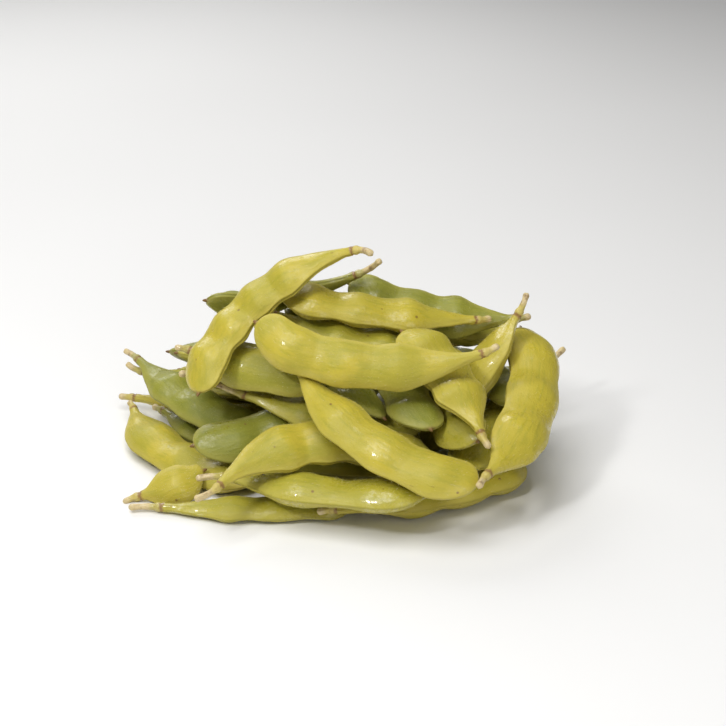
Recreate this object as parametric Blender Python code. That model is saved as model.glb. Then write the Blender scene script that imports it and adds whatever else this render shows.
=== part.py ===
"""A heap of boiled edamame pods, lying loose on a flat surface.

Each pod is one closed solid: a short stalk, the narrow neck above the calyx, a flattened hull that swells
round each bean, and a blunt end with a small beak. The pods are dropped together from places chosen by eye.
They sink, and are pushed out of each other and out of the surface, until each one lies on what is beneath it.

Axes: +X to the right, +Y away from the viewer, +Z up. The origin is on the surface, under the heap's middle.
Lengths are in millimetres and angles in degrees until the meshes are made.
"""

import math
from collections import namedtuple

import bmesh
import bpy
import numpy as np
from mathutils import Matrix, Vector

MM = 0.001

# Driving dimensions of an ordinary pod
POD_WIDTH = 13.8  # seam to seam, over a bean
POD_THICKNESS = 8.6  # through a bean
WAIST_WIDTH = 0.87  # of the full width, between two beans
WAIST_THICKNESS = 0.60  # of the full thickness, between two beans
NECK_RADIUS = 1.15  # just above the calyx
FLAT_BLUNT = 1.5  # times a pod's blunt length, over which its thickness tapers off
BEAK_LENGTH = 1.2
BEAK_RADIUS = 0.5
BEAK_SHIFT = 2.2  # of the beak, towards the inner seam
STALK_RADIUS = 0.85
CALYX_RADIUS = 1.15
CALYX_LENGTH = 2.2
SEAM_SHARPNESS = 1.25  # 1 gives an elliptic section, and more draws it to an edge at the seams
MOST_TWIST = 12.0  # of the body, end to end
MOST_WARP = 1.2  # of the middle out of the plane that the pod bends in
LEAST_SWELL = 0.75  # of the smallest bean, against the largest
BEAN_SPREAD = 0.35  # of the distance between two beans, over which a swelling fades
BEAK_FROM = 0.80  # share of the body from which the end shifts towards the inner seam
SHAPE_SEED = 7

# How the pods lie
SKIN_GAP = 0.4  # between two pods that touch
FLOOR_SINK = 0.45  # how far a soft pod flattens where it lies on the surface
DROP = 1.2  # how many times too high each pod starts
SINKING = 220  # steps in which the pods come down
PARTING = 240  # steps in which the last overlaps go
FALL = 0.22  # of a pod in one step
KEEP_PLACE = 0.15  # how strongly a pod keeps its place in plan, in one step
KEEP_TILT = 0.08  # how strongly it keeps the tilt it was dropped with
BALL_SPACING = 2.4  # along a pod, of the balls that stand for it
THIN_SPACING = 1.0  # of those in its stalk and neck
LAST_BALL = 2.2  # from the blunt end
RIM_BALL_WIDTH = 0.55  # of the half width, of the balls along the seams
RIM_BALL_THICKNESS = 0.9  # of the half thickness, at most
FLAT_FROM = 1.15  # width over thickness from which a pod has balls along its seams
BALL_INERTIA = 0.8  # of a ball's squared radius
PRESS = 1.6  # how much of an overlap one step takes away
LIGHTER = 14.0  # a pod this much higher gives way e times as easily
LOOK_AGAIN = 8  # steps between two searches for pods that are near each other
NEAR = 3.0  # gap up to which two balls count as near

# Facets of a solid pod
SIDES = 10
BODY_RINGS = 13
STALK_RINGS = 4
CAP_RING = 0.3  # of the stalk's radius, from its tip
CALYX_RINGS = (0.75, 0.25)  # of the calyx's length, before the body
FIRST_BODY_RING = 0.03  # of the body's length
BLUNT_RINGS = (5, 2.6, 0.7, 0)  # before the blunt end

Pod = namedtuple(
    "Pod",
    "name x y z heading length beans bend lean pitch stalk hook tint neck size blunt firm",
    defaults=(0, 0, 0, 3, 20, "green", 0.36, 1.0, 7, 1),
)
"""A pod and where it is dropped.

x, y, z   the middle of its body
heading   from its stalk to its blunt end, anticlockwise from +X
length    of the body, from calyx to blunt end
beans     how many beans swell it
bend      how far its body turns from end to end, anticlockwise seen on its upper face
lean      how far its upper face tips to the right of its heading
pitch     how far its blunt end points up
stalk     length of the stalk left on it
hook      how far the stalk turns, anticlockwise seen on the upper face
tint      the colour of its skin
neck      how much of the body it takes to reach the full width
size      its width and thickness, against an ordinary pod's
blunt     over what length the far end rounds off
firm      how strongly it keeps its place in plan and its tilt, against an ordinary pod
"""

PODS = [
    # On the surface
    Pod("pod_floor_left", -34, 26, 5, 5, 55, 3, bend=25, tint="yellow"),
    Pod("pod_front_low_left", -18, -30, 5, -5, 54, 3, bend=22, stalk=7, size=0.7, firm=3),
    Pod("pod_front_low_right", 27, -22, 5, 28, 60, 3, bend=40, tint="yellow"),
    Pod("pod_front_wavy", -3, -33, 10, -20, 56, 2, bend=14, lean=28, pitch=8, stalk=6, hook=50, firm=3),
    Pod("pod_right_low", 42, 8, 5, 70, 54, 3, bend=25, tint="dark"),
    Pod("pod_left_short", -43, -20, 5, 20, 18, 1, bend=10, lean=50, tint="yellow", neck=0.4, size=0.85),
    Pod("pod_right_stalk", 39, 22, 6, 197, 54, 3, bend=-25, stalk=6, tint="dark", firm=3),
    Pod("pod_core_middle", -10, 6, 5, 160, 58, 3, bend=-30),
    Pod("pod_core_back", 8, 22, 5, 10, 58, 3, bend=25),
    Pod("pod_core_front", 8, -7, 5, 195, 56, 3, bend=20),
    Pod("pod_back_left", -20, 41, 5, 170, 56, 3, bend=-30),
    Pod("pod_back_right", 24, 43, 5, 2, 58, 3, bend=-28),
    # Leaning on those
    Pod("pod_left_crescent", -43, 2, 10, -47, 60, 3, bend=58, tint="yellow", neck=0.25, firm=4),
    Pod("pod_left_dark", -11, 3, 20, 211, 60, 3, bend=-12, lean=-15, pitch=-8, tint="dark", firm=3),
    Pod("pod_left_stub", -38, 16, 9, -50, 52, 3, bend=20, pitch=-8, stalk=5, tint="dark", firm=4),
    Pod("pod_left_shoulder", -30, 15, 5, -38, 48, 3, bend=20, tint="dark"),
    Pod("pod_left_thin", -30, 26, 7, -2, 56, 3, bend=10, stalk=5, hook=-50, firm=6),
    Pod("pod_right_inner", 38, -3, 8, 78, 54, 3, bend=20, firm=2),
    Pod("pod_right_crescent", 50, -11, 15, 78, 65, 3, bend=45, pitch=4, stalk=4, tint="yellow", neck=0.25,
        size=1.1, firm=6),
    Pod("pod_right_shoulder", 39, 17, 14, -70, 50, 3, bend=20, tint="dark", firm=2),
    Pod("pod_left_back_low", -20, 36, 20, 180, 58, 3, bend=25, tint="dark"),
    Pod("pod_back_slope", 12, 36, 15, 5, 58, 3, bend=-30, tint="dark"),
    Pod("pod_front_arch", 0, -20, 16, 22, 66, 4, bend=-85, lean=60, pitch=8, stalk=6, hook=-30,
        tint="yellow", neck=0.32, firm=4),
    Pod("pod_front_thin", 0, -3, 22, -12, 50, 3, bend=20, lean=20, stalk=8, hook=-20, firm=3),
    Pod("pod_left_back_high", -17, 22, 22, 182, 56, 3, bend=20),
    Pod("pod_left_core", -18, 9, 14, 172, 50, 3, bend=20),
    Pod("pod_right_round", 30, 0, 22, -85, 54, 3, bend=15, pitch=-8, firm=4),
    Pod("pod_middle_round", 20, 2, 24, -92, 54, 3, bend=15, tint="dark", firm=2),
    Pod("pod_back_round", 2, 28, 24, 168, 58, 3, bend=-25),
    # Above them
    Pod("pod_middle_point", -1, 5, 26, -46, 54, 3, bend=20, lean=-20, pitch=-18, tint="dark", blunt=15,
        firm=1),
    Pod("pod_front_diagonal", 9, -31, 20, -35, 63, 3, bend=52, lean=38, pitch=-27, stalk=7, hook=120,
        tint="yellow", firm=3),
    Pod("pod_core_low", 12, 5, 14, 140, 54, 3, bend=25),
    Pod("pod_core_high", -10, 8, 24, 15, 56, 3, bend=20),
    Pod("pod_back_high", 18, 21, 33, -5, 58, 3, bend=25),
    Pod("pod_left_middle", -18, 2, 33, -6, 42, 2, bend=22, lean=25, pitch=-5, blunt=14, firm=3),
    Pod("pod_right_point", 8, 4, 27, -22, 54, 3, bend=15, lean=20, pitch=-14, blunt=15, firm=4),
    Pod("pod_top_stalk", -14, 21, 38, 188, 44, 3, bend=45, lean=50, pitch=-12, stalk=8, hook=-45,
        tint="dark", size=0.85, firm=4),
    Pod("pod_right_hang", 31, -12, 30, 139, 39, 3, bend=25, lean=-30, pitch=32, tint="yellow", size=1.1,
        firm=5),
    Pod("pod_right_upright", 37, 3, 28, 217, 47, 2, bend=-15, lean=-35, pitch=-48, stalk=5, hook=40,
        tint="yellow", neck=0.22, size=1.15, firm=6),
    Pod("pod_top_back", 27, 16, 38, 170, 48, 3, bend=-25, pitch=18, tint="dark", firm=4),
    Pod("pod_top_middle", 10, 7, 46, 176, 56, 3, bend=-25, lean=-15, tint="yellow"),
    Pod("pod_top_arch", -20, 6, 46, 203, 62, 4, bend=78, lean=-55, pitch=-28, stalk=5, hook=-50,
        tint="yellow", firm=4),
    Pod("pod_top_front", 8, -14, 46, 180, 63, 3, bend=-48, lean=-42, pitch=10, tint="yellow", size=0.95,
        firm=3),
]

TINTS = {
    "yellow": (0.56, 0.52, 0.10),
    "green": (0.40, 0.43, 0.09),
    "dark": (0.25, 0.30, 0.06),
}
SKIN_ROUGHNESS = 0.35


class Shape:
    """The form of one pod about its own middle, with its bend in the XY plane and its length along X."""

    SPINE_STEP = 0.25

    def __init__(self, pod, seed):
        draw = np.random.default_rng(seed)
        self.pod = pod
        self.twist = math.radians(draw.uniform(-MOST_TWIST, MOST_TWIST))
        self.warp = draw.uniform(-MOST_WARP, MOST_WARP)
        self.beans = self.bean_centres(pod.beans)
        self.swells = draw.uniform(LEAST_SWELL, 1.0, pod.beans)
        self.start = -(CALYX_LENGTH + pod.stalk)
        self.trace_spine()

    @staticmethod
    def bean_centres(count):
        """Shares of the body's length at which the beans lie."""
        if count == 1:
            return np.array([0.6])
        return np.linspace(0.24 + 0.30 / count, 0.86 - 0.12 / count, count)

    def trace_spine(self):
        """Points and directions along the middle of the stalk and the body."""
        pod = self.pod
        self.u = np.arange(self.start, pod.length + self.SPINE_STEP, self.SPINE_STEP)
        bend = math.radians(pod.bend)
        turn = bend * (np.clip(self.u / pod.length, 0, 1) - 0.5)
        turn += math.radians(pod.hook) * np.clip(self.u / self.start, 0, 1)
        steps = np.stack([np.cos(turn), np.sin(turn)], 1) * self.SPINE_STEP
        line = np.cumsum(steps, 0)
        middle = np.searchsorted(self.u, pod.length / 2)
        line -= line[middle]
        share = np.clip(self.u / pod.length, 0, 1)
        rise = self.warp * np.sin(math.pi * share)
        self.line = np.column_stack([line, rise])
        self.turn = turn

    def swelling(self, u):
        """How far the beans swell the body at each distance u from the calyx, from 0 to 1."""
        share = np.clip(u / self.pod.length, 0, 1)
        spread = BEAN_SPREAD * (0.5 if self.pod.beans == 1 else self.beans[1] - self.beans[0])
        swell = np.zeros_like(share)
        for centre, height in zip(self.beans, self.swells):
            swell = np.maximum(swell, height * np.exp(-(((share - centre) / spread) ** 2)))
        return swell

    def half_sizes(self, u):
        """Half the width and half the thickness at each distance u from the calyx."""
        pod = self.pod
        swell = self.swelling(u)
        neck = smooth(u / pod.length / pod.neck)
        blunt = rounded((pod.length - u) / pod.blunt)
        flat_blunt = rounded((pod.length - u) / (FLAT_BLUNT * pod.blunt))
        full = pod.size * POD_WIDTH / 2 * (WAIST_WIDTH + (1 - WAIST_WIDTH) * swell)
        deep = pod.size * POD_THICKNESS / 2 * (WAIST_THICKNESS + (1 - WAIST_THICKNESS) * swell)
        width = (NECK_RADIUS + (full - NECK_RADIUS) * neck) * blunt
        thick = (NECK_RADIUS + (deep - NECK_RADIUS) * neck) * flat_blunt
        ring = np.exp(-(((u + CALYX_LENGTH / 2) / (CALYX_LENGTH / 2)) ** 2))
        stem = STALK_RADIUS + (CALYX_RADIUS - STALK_RADIUS) * ring
        stem *= rounded((u - self.start) / STALK_RADIUS)
        on_stem = u < 0
        return np.where(on_stem, stem, width), np.where(on_stem, stem, thick)

    def axes(self, u):
        """The middle, and the directions to the left seam and out of the upper face, at each distance u."""
        centre = np.stack([np.interp(u, self.u, self.line[:, k]) for k in range(3)], 1)
        turn = np.interp(u, self.u, self.turn)
        share = np.clip(u / self.pod.length, 0, 1)
        roll = self.twist * (share - 0.5)
        side = np.stack([-np.sin(turn) * np.cos(roll), np.cos(turn) * np.cos(roll), np.sin(roll)], 1)
        face = np.stack([np.sin(turn) * np.sin(roll), -np.cos(turn) * np.sin(roll), np.cos(roll)], 1)
        shift = self.inner() * BEAK_SHIFT * smooth((share - BEAK_FROM) / (1 - BEAK_FROM))
        return centre + side * shift[:, None], side, face

    def inner(self):
        """1 where the inner seam is the left one, and -1 where it is the right one."""
        return 1 if self.pod.bend >= 0 else -1

    def points(self, u, angles):
        """Points of the skin, an array of len(u) by len(angles) by 3. Angle 0 is the left seam."""
        u = np.asarray(u, float)
        centre, side, face = self.axes(u)
        width, thick = self.half_sizes(u)
        across = np.cos(angles)[None, :, None] * (side * width[:, None])[:, None, :]
        lift = np.sign(np.sin(angles)) * np.abs(np.sin(angles)) ** SEAM_SHARPNESS
        through = lift[None, :, None] * (face * thick[:, None])[:, None, :]
        return centre[:, None, :] + across + through

    def beak(self):
        """The tip of the beak."""
        end = self.points([self.pod.length], np.array([0.0]))[0, 0]
        out = math.radians(self.pod.bend / 2)
        return end + BEAK_LENGTH * np.array([math.cos(out), math.sin(out), 0])


def smooth(t):
    t = np.clip(t, 0, 1)
    return t * t * (3 - 2 * t)


def rounded(t):
    """0 at t = 0, and 1 from t = 1 on, with a circle's quarter between."""
    t = np.clip(t, 0, 1)
    return np.sqrt(1 - (1 - t) ** 2)


def turned(heading, pitch, lean):
    """Rotation matrix of a pod that points along heading, with its blunt end up by pitch."""
    h, p, r = (math.radians(a) for a in (heading, pitch, lean))
    about_z = np.array([[math.cos(h), -math.sin(h), 0], [math.sin(h), math.cos(h), 0], [0, 0, 1]])
    about_y = np.array([[math.cos(p), 0, -math.sin(p)], [0, 1, 0], [math.sin(p), 0, math.cos(p)]])
    about_x = np.array([[1, 0, 0], [0, math.cos(r), -math.sin(r)], [0, math.sin(r), math.cos(r)]])
    return about_z @ about_y @ about_x


def balls_of(shape):
    """Centres and radii of balls that together fill the pod out."""
    thin = np.arange(shape.start + STALK_RADIUS, shape.pod.neck / 2 * shape.pod.length, THIN_SPACING)
    body = np.arange(thin[-1] + BALL_SPACING, shape.pod.length - 1, BALL_SPACING)
    u = np.concatenate([thin, body, [shape.pod.length - LAST_BALL]])
    width, thick = shape.half_sizes(u)
    rim = shape.points(u, np.array([0, math.pi]))
    middle = rim.mean(1)
    side = (rim[:, 0] - rim[:, 1]) / (2 * width)[:, None]
    small = np.minimum(RIM_BALL_WIDTH * width, RIM_BALL_THICKNESS * thick)
    flat = width > FLAT_FROM * thick
    centres = [middle, shape.beak()[None]]
    radii = [np.minimum(thick, width), [BEAK_RADIUS]]
    for way in (-1, 1):
        centres.append((middle + way * side * (width - small)[:, None])[flat])
        radii.append(small[flat])
    return np.concatenate(centres), np.concatenate(radii)


def spun(matrices, turns):
    """Rotation matrices after a further turn each, given as a vector along its axis."""
    angle = np.linalg.norm(turns, axis=1)
    axis = turns / np.maximum(angle, 1e-12)[:, None]
    x, y, z = axis.T
    zero = np.zeros_like(x)
    cross = np.stack([zero, -z, y, z, zero, -x, -y, x, zero], 1).reshape(-1, 3, 3)
    sine = np.sin(angle)[:, None, None]
    cosine = np.cos(angle)[:, None, None]
    turn = np.eye(3) + sine * cross + (1 - cosine) * (cross @ cross)
    return turn @ matrices


class Heap:
    """All the pods, as rigid sets of balls that give way to each other."""

    def __init__(self, shapes):
        pods = [shape.pod for shape in shapes]
        parts = [balls_of(shape) for shape in shapes]
        self.owner = np.repeat(np.arange(len(pods)), [len(radii) for _, radii in parts])
        self.local = np.concatenate([centres for centres, _ in parts])
        self.radii = np.concatenate([radii for _, radii in parts])
        self.home = np.array([(pod.x, pod.y, DROP * pod.z) for pod in pods], float)
        self.place = self.home.copy()
        self.set_up = np.array([turned(pod.heading, pod.pitch, pod.lean) for pod in pods])
        self.turn = self.set_up.copy()
        self.stiffness = np.array([self.resistance(*part) for part in parts])
        self.firm = np.array([pod.firm for pod in pods])[:, None]
        self.pairs = None

    @staticmethod
    def resistance(centres, radii):
        """How hard a pod is to turn about its middle, as a matrix for a pod of weight 1."""
        weight = radii**3 / np.sum(radii**3)
        square = np.sum(centres**2, 1) + BALL_INERTIA * radii**2
        whole = np.sum(weight * square) * np.eye(3)
        return whole - np.einsum("i,ij,ik->jk", weight, centres, centres)

    def balls(self):
        return np.einsum("ijk,ik->ij", self.turn[self.owner], self.local) + self.place[self.owner]

    def near_pairs(self, balls, reach):
        """Pairs of balls of different pods that are closer than reach."""
        first, second = [], []
        count = len(self.place)
        rows = [np.flatnonzero(self.owner == number) for number in range(count)]
        low = np.array([(balls[row] - self.radii[row, None]).min(0) for row in rows]) - reach
        high = np.array([(balls[row] + self.radii[row, None]).max(0) for row in rows])
        for a in range(count):
            for b in range(a + 1, count):
                if np.any(low[a] > high[b]) or np.any(low[b] > high[a]):
                    continue
                gap = np.linalg.norm(balls[rows[a], None] - balls[None, rows[b]], axis=2)
                gap -= self.radii[rows[a], None] + self.radii[None, rows[b]]
                i, j = np.nonzero(gap < reach)
                first.append(rows[a][i])
                second.append(rows[b][j])
        return np.concatenate(first), np.concatenate(second)

    def step(self, number, fall, keep):
        """Let the pods sink by fall, then push them out of each other and out of the surface."""
        self.place[:, 2] -= fall
        balls = self.balls()
        if number % LOOK_AGAIN == 0:
            self.pairs = self.near_pairs(balls, NEAR)
        i, j = self.pairs
        apart = balls[j] - balls[i]
        distance = np.maximum(np.linalg.norm(apart, axis=1), 1e-6)
        depth = self.radii[i] + self.radii[j] + SKIN_GAP - distance
        hit = depth > 0
        i, j, depth = i[hit], j[hit], depth[hit]
        normal = apart[hit] / distance[hit, None]
        a, b = self.owner[i], self.owner[j]
        inverse = np.linalg.inv(self.turn @ self.stiffness @ self.turn.transpose(0, 2, 1))
        ease = np.exp(np.clip(self.place[:, 2] / LIGHTER, 0, 6))
        sides = []
        for body, ball in ((a, i), (b, j)):
            arm = np.cross(balls[ball] - self.place[body], normal)
            spin = np.einsum("ijk,ik->ij", inverse[body], arm)
            sides.append((spin, ease[body] * (1 + np.sum(arm * spin, 1))))
        push = depth / (sides[0][1] + sides[1][1])
        shift = np.zeros((len(self.place), 6))
        total = np.full(len(self.place), 1e-9)
        for body, sign, spin in ((a, -1, sides[0][0]), (b, 1, sides[1][0])):
            move = (sign * push * ease[body] * depth)[:, None] * np.hstack([normal, spin])
            np.add.at(shift, body, move)
            np.add.at(total, body, depth)
        low = self.radii - FLOOR_SINK - balls[:, 2]
        k = np.flatnonzero(low > 0)
        body = self.owner[k]
        up = np.tile((0.0, 0.0, 1.0), (len(k), 1))
        arm = np.cross(balls[k] - self.place[body], up)
        spin = np.einsum("ijk,ik->ij", inverse[body], arm)
        push = low[k] / (1 + np.sum(arm * spin, 1))
        np.add.at(shift, body, (push * low[k])[:, None] * np.hstack([up, spin]))
        np.add.at(total, body, low[k])
        shift *= (PRESS / total)[:, None]
        back = np.zeros_like(shift)
        back[:, :2] = KEEP_PLACE * self.firm * (self.home - self.place)[:, :2]
        back[:, 3:] = KEEP_TILT * self.firm * np.cross(self.turn, self.set_up, axis=1).sum(2)
        shift += keep * back
        self.place += shift[:, :3]
        self.turn = spun(self.turn, shift[:, 3:])


def lay_heap():
    """Each pod's shape, rotation matrix and place, with the heap's middle over the origin."""
    shapes = [Shape(pod, SHAPE_SEED + number) for number, pod in enumerate(PODS)]
    heap = Heap(shapes)
    for number in range(SINKING):
        heap.step(number, FALL, 1)
    for number in range(PARTING):
        left = max(0, 1 - 2 * number / PARTING)
        heap.step(number, FALL * left, left)
    laid = list(zip(shapes, heap.turn, heap.place))
    skin = np.concatenate([net_points(shape).reshape(-1, 3) @ turn.T + place for shape, turn, place in laid])
    middle = (skin.min(0) + skin.max(0)) / 2
    middle[2] = 0
    return [(shape, turn, place - middle) for shape, turn, place in laid]


def net_points(shape):
    """Points of a solid pod's skin, ring by ring from the stalk's tip to the beak."""
    pod = shape.pod
    stalk = np.linspace(shape.start, -CALYX_LENGTH, STALK_RINGS)[:-1] if pod.stalk else [shape.start]
    cap = [shape.start + CAP_RING * STALK_RADIUS]
    calyx = [-share * CALYX_LENGTH for share in CALYX_RINGS]
    blunt = [pod.length - before for before in BLUNT_RINGS]
    body = np.linspace(FIRST_BODY_RING * pod.length, blunt[0], BODY_RINGS)
    rings = np.unique(np.concatenate([stalk, cap, calyx, body, blunt[1:]]))
    skin = shape.points(rings, np.arange(SIDES) * 2 * math.pi / SIDES)
    skin[-1] = shape.beak()
    return skin


def pod_mesh(shape, turn, place):
    """A sphere's net drawn out into the pod, and cut flat where it lies on the surface."""
    skin = net_points(shape)
    last = len(skin) - 1
    bm = bmesh.new()
    bmesh.ops.create_uvsphere(bm, u_segments=SIDES, v_segments=last, radius=1)
    around = [vert for vert in bm.verts if math.hypot(vert.co.x, vert.co.y) > 1e-3]
    first = math.atan2(around[0].co.y, around[0].co.x)
    for vert in bm.verts:
        ring = round((1 - math.acos(max(-1, min(1, vert.co.z))) / math.pi) * last)
        side = round((math.atan2(vert.co.y, vert.co.x) - first) / (2 * math.pi / SIDES)) % SIDES
        vert.co = Vector(skin[ring, side]) * MM
    world = Matrix.Translation(Vector(place) * MM) @ Matrix(turn.tolist()).to_4x4()
    bm.transform(world)
    everything = bm.verts[:] + bm.edges[:] + bm.faces[:]
    bmesh.ops.bisect_plane(bm, geom=everything, plane_co=(0, 0, 0), plane_no=(0, 0, 1), clear_inner=True)
    open_edges = [edge for edge in bm.edges if edge.is_boundary]
    if open_edges:
        bmesh.ops.holes_fill(bm, edges=open_edges, sides=0)
    bmesh.ops.recalc_face_normals(bm, faces=bm.faces)
    mesh = bpy.data.meshes.new(shape.pod.name)
    bm.to_mesh(mesh)
    bm.free()
    mesh.shade_smooth()
    return mesh


def skin_material(tint):
    """Moist pod skin of one tint, shared by the pods that have it."""
    name = "pod_skin_" + tint
    found = bpy.data.materials.get(name)
    if found:
        return found
    material = bpy.data.materials.new(name)
    material.use_nodes = True
    shader = material.node_tree.nodes["Principled BSDF"]
    shader.inputs["Base Color"].default_value = (*TINTS[tint], 1)
    shader.inputs["Roughness"].default_value = SKIN_ROUGHNESS
    shader.inputs["Metallic"].default_value = 0
    return material


def main():
    for obj in list(bpy.data.objects):
        bpy.data.objects.remove(obj)
    heap = bpy.data.collections.new("edamame_pod_bundle")
    bpy.context.scene.collection.children.link(heap)
    for shape, turn, place in lay_heap():
        mesh = pod_mesh(shape, turn, place)
        mesh.materials.append(skin_material(shape.pod.tint))
        obj = bpy.data.objects.new(shape.pod.name, mesh)
        heap.objects.link(obj)


main()
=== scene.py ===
"""Boiled edamame pods, heaped loose on a pale floor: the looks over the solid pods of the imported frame.

Each solid pod gets a finely divided skin with seams, a calyx and a broken stalk, and short pale fuzz. The
shapes and the way the pods lie are worked out again from the same values as the solids, and are set against
the frame before anything is made. Lengths are in millimetres and angles in degrees until the meshes are made.
"""

import math
from collections import namedtuple

import bmesh
import bpy
import numpy as np
from bpy.props import FloatProperty, FloatVectorProperty, IntProperty, PointerProperty
from bpy.types import Operator, Panel, PropertyGroup
from mathutils import Matrix, Vector


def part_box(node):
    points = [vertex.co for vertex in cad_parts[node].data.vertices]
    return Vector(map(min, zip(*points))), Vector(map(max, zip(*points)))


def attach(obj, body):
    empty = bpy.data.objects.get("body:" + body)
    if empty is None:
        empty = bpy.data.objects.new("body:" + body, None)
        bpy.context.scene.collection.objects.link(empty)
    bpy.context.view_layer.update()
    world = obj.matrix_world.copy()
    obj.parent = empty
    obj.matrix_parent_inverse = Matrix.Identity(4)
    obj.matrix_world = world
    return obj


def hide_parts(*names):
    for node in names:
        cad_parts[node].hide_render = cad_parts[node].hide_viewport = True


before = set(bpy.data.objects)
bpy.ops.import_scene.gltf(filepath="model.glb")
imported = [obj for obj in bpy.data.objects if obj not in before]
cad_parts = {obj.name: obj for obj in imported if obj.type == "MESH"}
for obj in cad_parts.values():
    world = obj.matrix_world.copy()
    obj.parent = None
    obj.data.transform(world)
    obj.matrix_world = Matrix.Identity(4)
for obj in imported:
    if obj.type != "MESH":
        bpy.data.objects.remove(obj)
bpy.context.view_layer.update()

bl_info = {
    "name": "Edamame Pod Heap",
    "version": (1, 0, 0),
    "blender": (4, 5, 0),
    "location": "3D View > Sidebar > Edamame",
    "description": "Adds fuzzy, moist skins to a heap of boiled edamame pods, and a plain stage",
    "category": "Add Mesh",
}

MM = 0.001

# Driving dimensions of an ordinary pod
POD_WIDTH = 13.8  # seam to seam, over a bean
POD_THICKNESS = 8.6  # through a bean
WAIST_WIDTH = 0.87  # of the full width, between two beans
WAIST_THICKNESS = 0.60  # of the full thickness, between two beans
NECK_RADIUS = 1.15  # just above the calyx
FLAT_BLUNT = 1.5  # times a pod's blunt length, over which its thickness tapers off
BEAK_LENGTH = 1.2
BEAK_RADIUS = 0.5
BEAK_SHIFT = 2.2  # of the beak, towards the inner seam
STALK_RADIUS = 0.85
CALYX_RADIUS = 1.15
CALYX_LENGTH = 2.2
SEAM_SHARPNESS = 1.25  # 1 gives an elliptic section, and more draws it to an edge at the seams
MOST_TWIST = 12.0  # of the body, end to end
MOST_WARP = 1.2  # of the middle out of the plane that the pod bends in
LEAST_SWELL = 0.75  # of the smallest bean, against the largest
BEAN_SPREAD = 0.35  # of the distance between two beans, over which a swelling fades
BEAK_FROM = 0.80  # share of the body from which the end shifts towards the inner seam
SHAPE_SEED = 7

# How the pods lie
SKIN_GAP = 0.4  # between two pods that touch
FLOOR_SINK = 0.45  # how far a soft pod flattens where it lies on the surface
DROP = 1.2  # how many times too high each pod starts
SINKING = 220  # steps in which the pods come down
PARTING = 240  # steps in which the last overlaps go
FALL = 0.22  # of a pod in one step
KEEP_PLACE = 0.15  # how strongly a pod keeps its place in plan, in one step
KEEP_TILT = 0.08  # how strongly it keeps the tilt it was dropped with
BALL_SPACING = 2.4  # along a pod, of the balls that stand for it
THIN_SPACING = 1.0  # of those in its stalk and neck
LAST_BALL = 2.2  # from the blunt end
RIM_BALL_WIDTH = 0.55  # of the half width, of the balls along the seams
RIM_BALL_THICKNESS = 0.9  # of the half thickness, at most
FLAT_FROM = 1.15  # width over thickness from which a pod has balls along its seams
BALL_INERTIA = 0.8  # of a ball's squared radius
PRESS = 1.6  # how much of an overlap one step takes away
LIGHTER = 14.0  # a pod this much higher gives way e times as easily
LOOK_AGAIN = 8  # steps between two searches for pods that are near each other
NEAR = 3.0  # gap up to which two balls count as near
MOST_OFF = 0.3  # between a pod laid here and its solid in the frame

# Facets of a solid pod, for setting the pods against the frame
SIDES = 10
BODY_RINGS = 13
STALK_RINGS = 4
CAP_RING = 0.3  # of the stalk's radius, from its tip
CALYX_RINGS = (0.75, 0.25)  # of the calyx's length, before the body
FIRST_BODY_RING = 0.03  # of the body's length
BLUNT_RINGS = (5, 2.6, 0.7, 0)  # before the blunt end

# Fine divisions of a skin
SEAM_ANGLES = (0, 5, 8.6, 12, 15.6, 19.3, 24.6)  # closest together where the seam's ridge is
SIDE_ANGLES = 7  # from there to the middle of the pod's face
BODY_STEP = 0.62  # between two rings of the body
STALK_STEP = 0.3
BLUNT_STEPS = 16
BEAK_STEPS = 6
STALK_CAP_STEPS = 5

# What the solid pods leave to the skins
BEAK_ROOT = 1.5  # times the beak's radius, where it meets the body
BEAK_TAPER = 2.2  # times the beak's length, over which it grows to that
BEAK_FLATNESS = 0.8  # of its width
FLARE_REACH = 0.9  # of the flare at a stalk's broken end
STALK_KNOBS = 0.03  # of a stalk's radius
INNER_RIDGE = 0.55  # from the inner seam to the ridge on each side of it
INNER_RIDGE_REACH = 0.33
INNER_CREASE = 0.55  # of the ridges' height, of the crease along the inner seam
INNER_CREASE_REACH = 0.28
OUTER_RIDGE = 0.8  # of the inner ridges' height
OUTER_RIDGE_REACH = 0.42
NECK_FOLDS = 7  # round a pod
SEPALS = 5
SEPAL_GAP = 0.2  # from the calyx to where two sepals part
SEPAL_LENGTH = 1.9
BARK_HEIGHT = 0.05

# Patterns and the picture
SKIN_SEED = 1000
PATTERN_STEP = 200  # between two pods' stretches of a pattern
GRAIN_DEPTH = 0.25
PICTURE = 726  # pixels on a side
LIGHT_AIM = (0, 0, 0.03)  # in metres
LIGHTS = (  # name, place and side, in metres
    ("key", (-0.10, -0.16, 0.62), 0.55),
    ("window", (-0.26, -0.30, 0.40), 0.07),
    ("fill", (0.35, -0.60, 0.30), 0.50),
    ("back", (-0.25, 0.55, 0.45), 0.45),
)

Pod = namedtuple(
    "Pod",
    "name x y z heading length beans bend lean pitch stalk hook tint neck size blunt firm",
    defaults=(0, 0, 0, 3, 20, "green", 0.36, 1.0, 7, 1),
)
# tint      the colour of its skin; the dark tint is a greener hull, also darkened as painted shade for pods that lie in shade
"""A pod and where it is dropped.

x, y, z   the middle of its body
heading   from its stalk to its blunt end, anticlockwise from +X
length    of the body, from calyx to blunt end
beans     how many beans swell it
bend      how far its body turns from end to end, anticlockwise seen on its upper face
lean      how far its upper face tips to the right of its heading
pitch     how far its blunt end points up
stalk     length of the stalk left on it
hook      how far the stalk turns, anticlockwise seen on the upper face
tint      the colour of its skin
neck      how much of the body it takes to reach the full width
size      its width and thickness, against an ordinary pod's
blunt     over what length the far end rounds off
firm      how strongly it keeps its place in plan and its tilt, against an ordinary pod
"""

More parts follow.
